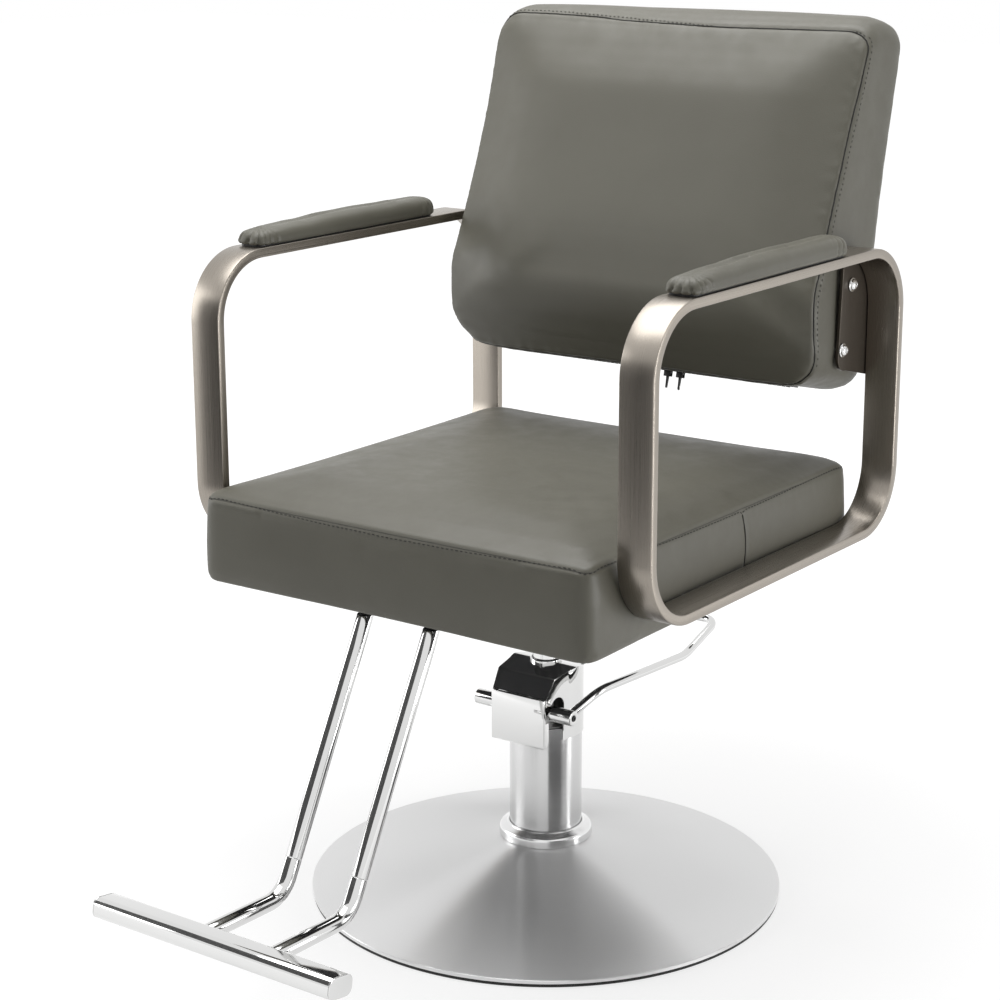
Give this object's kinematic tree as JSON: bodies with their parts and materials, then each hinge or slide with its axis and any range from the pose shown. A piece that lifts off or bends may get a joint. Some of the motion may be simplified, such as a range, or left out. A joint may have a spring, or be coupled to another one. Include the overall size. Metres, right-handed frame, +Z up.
{
  "type": "salon styling chair",
  "caption": "Hydraulic salon chair: padded seat and tilted backrest between bent flat-bar arm loops, T-bar footrest, foot-pumped column on a round domed base.",
  "frame": {"origin": "on the floor under the centre of the round base", "axes": "+Z up, -Y towards the chair's front and footrest, +X to the viewer's right when facing the chair"},
  "size_m": [0.602, 0.9266, 0.9965],
  "materials": {
    "chrome": "polished",
    "satin_stainless": "satin",
    "brushed_nickel": "satin",
    "plain_steel": "matte",
    "black_steel": "satin",
    "rubber": "matte",
    "upholstery": "satin",
    "panel_leather": "satin",
    "plywood": "matte",
    "zip": "matte"
  },
  "bodies": {
    "base": {"base_plate": "plain_steel", "rubber_edge_ring": "rubber", "base_cover": "satin_stainless", "column_collar": "chrome", "column_tube": "satin_stainless", "pump_cylinder": "plain_steel", "gland_nut": "plain_steel", "piston_wiper_ring": "chrome", "pump_hood": "chrome", "hood_front_plate": "chrome", "lever_yoke": "plain_steel", "plunger_spring": "plain_steel"},
    "lever": {"lever_shaft": "chrome", "lever_rod": "chrome", "lever_grub_screw": "plain_steel", "pump_rocker": "plain_steel"},
    "plunger": {"pump_plunger": "plain_steel"},
    "piston": {"piston_rod": "chrome", "piston_head": "plain_steel", "thrust_washer": "plain_steel"},
    "zip_slider_a": {"zip_slider_left": "zip"},
    "zip_slider_b": {"zip_slider_right": "zip"},
    "zip_pull_a": {"zip_pull_left": "chrome"},
    "zip_pull_b": {"zip_pull_right": "chrome"},
    "seat": {"arm_bolt_left_front": "plain_steel", "arm_bolt_left_rear": "plain_steel", "arm_bolt_right_front": "plain_steel", "arm_bolt_right_rear": "plain_steel", "arm_loop_left": "brushed_nickel", "arm_loop_right": "brushed_nickel", "arm_pad_board_left": "plywood", "arm_pad_board_right": "plywood", "arm_pad_left": "upholstery", "arm_pad_right": "upholstery", "back_bolt_left_lower": "chrome", "back_bolt_left_upper": "chrome", "back_bolt_right_lower": "chrome", "back_bolt_right_upper": "chrome", "back_bracket_left": "brushed_nickel", "back_bracket_right": "brushed_nickel", "back_cushion": "upholstery", "back_frame": "plywood", "back_panel": "panel_leather", "footrest_bar": "chrome", "footrest_cap_left": "chrome", "footrest_cap_right": "chrome", "footrest_elbow_left": "chrome", "footrest_elbow_right": "chrome", "footrest_plate": "black_steel", "footrest_tube_left": "chrome", "footrest_tube_right": "chrome", "hub_bolt_1": "plain_steel", "hub_bolt_2": "plain_steel", "hub_bolt_3": "plain_steel", "hub_bolt_4": "plain_steel", "seat_cushion": "upholstery", "seat_frame": "plywood", "seat_mount_plate": "black_steel", "swivel_hub": "black_steel", "zip_tape": "zip"}
  },
  "joints": [
    {"name": "lever_pivot", "type": "hinge", "parent": "base", "child": "lever", "pos_m": [0, -0.041, 0.231], "axis": [-1, 0, 0], "range_deg": [0, 22], "stiffness_Nm_per_rad": 1.5, "springref_deg": -40.11},
    {"name": "plunger_slide", "type": "slide", "parent": "base", "child": "plunger", "axis": [0, 0, -1], "range_m": [0, 0.0048], "deforming": ["plunger_spring"]},
    {"name": "seat_lift", "type": "slide", "parent": "base", "child": "piston", "axis": [0, 0, 1], "range_m": [-0.04, 0.09]},
    {"name": "seat_swivel", "type": "hinge", "parent": "piston", "child": "seat", "pos_m": [0, 0, 0.4], "axis": [0, 0, 1], "continuous": true},
    {"name": "zip_slide_a", "type": "slide", "parent": "seat", "child": "zip_slider_a", "axis": [-1, 0, 0], "range_m": [0, 0.22]},
    {"name": "zip_pull_swing_a", "type": "hinge", "parent": "zip_slider_a", "child": "zip_pull_a", "pos_m": [0.03, 0.20852, 0.58053], "axis": [0, -0.9715, 0.2368], "range_deg": [-60, 60]},
    {"name": "zip_slide_b", "type": "slide", "parent": "seat", "child": "zip_slider_b", "axis": [1, 0, 0], "range_m": [0, 0.145]},
    {"name": "zip_pull_swing_b", "type": "hinge", "parent": "zip_slider_b", "child": "zip_pull_b", "pos_m": [0.047, 0.20852, 0.58053], "axis": [0, -0.9715, 0.2368], "range_deg": [-60, 60]}
  ],
  "couplings": [
    {"joint": "plunger_slide", "follows": "lever_pivot", "m_per_rad": 0.0118}
  ]
}
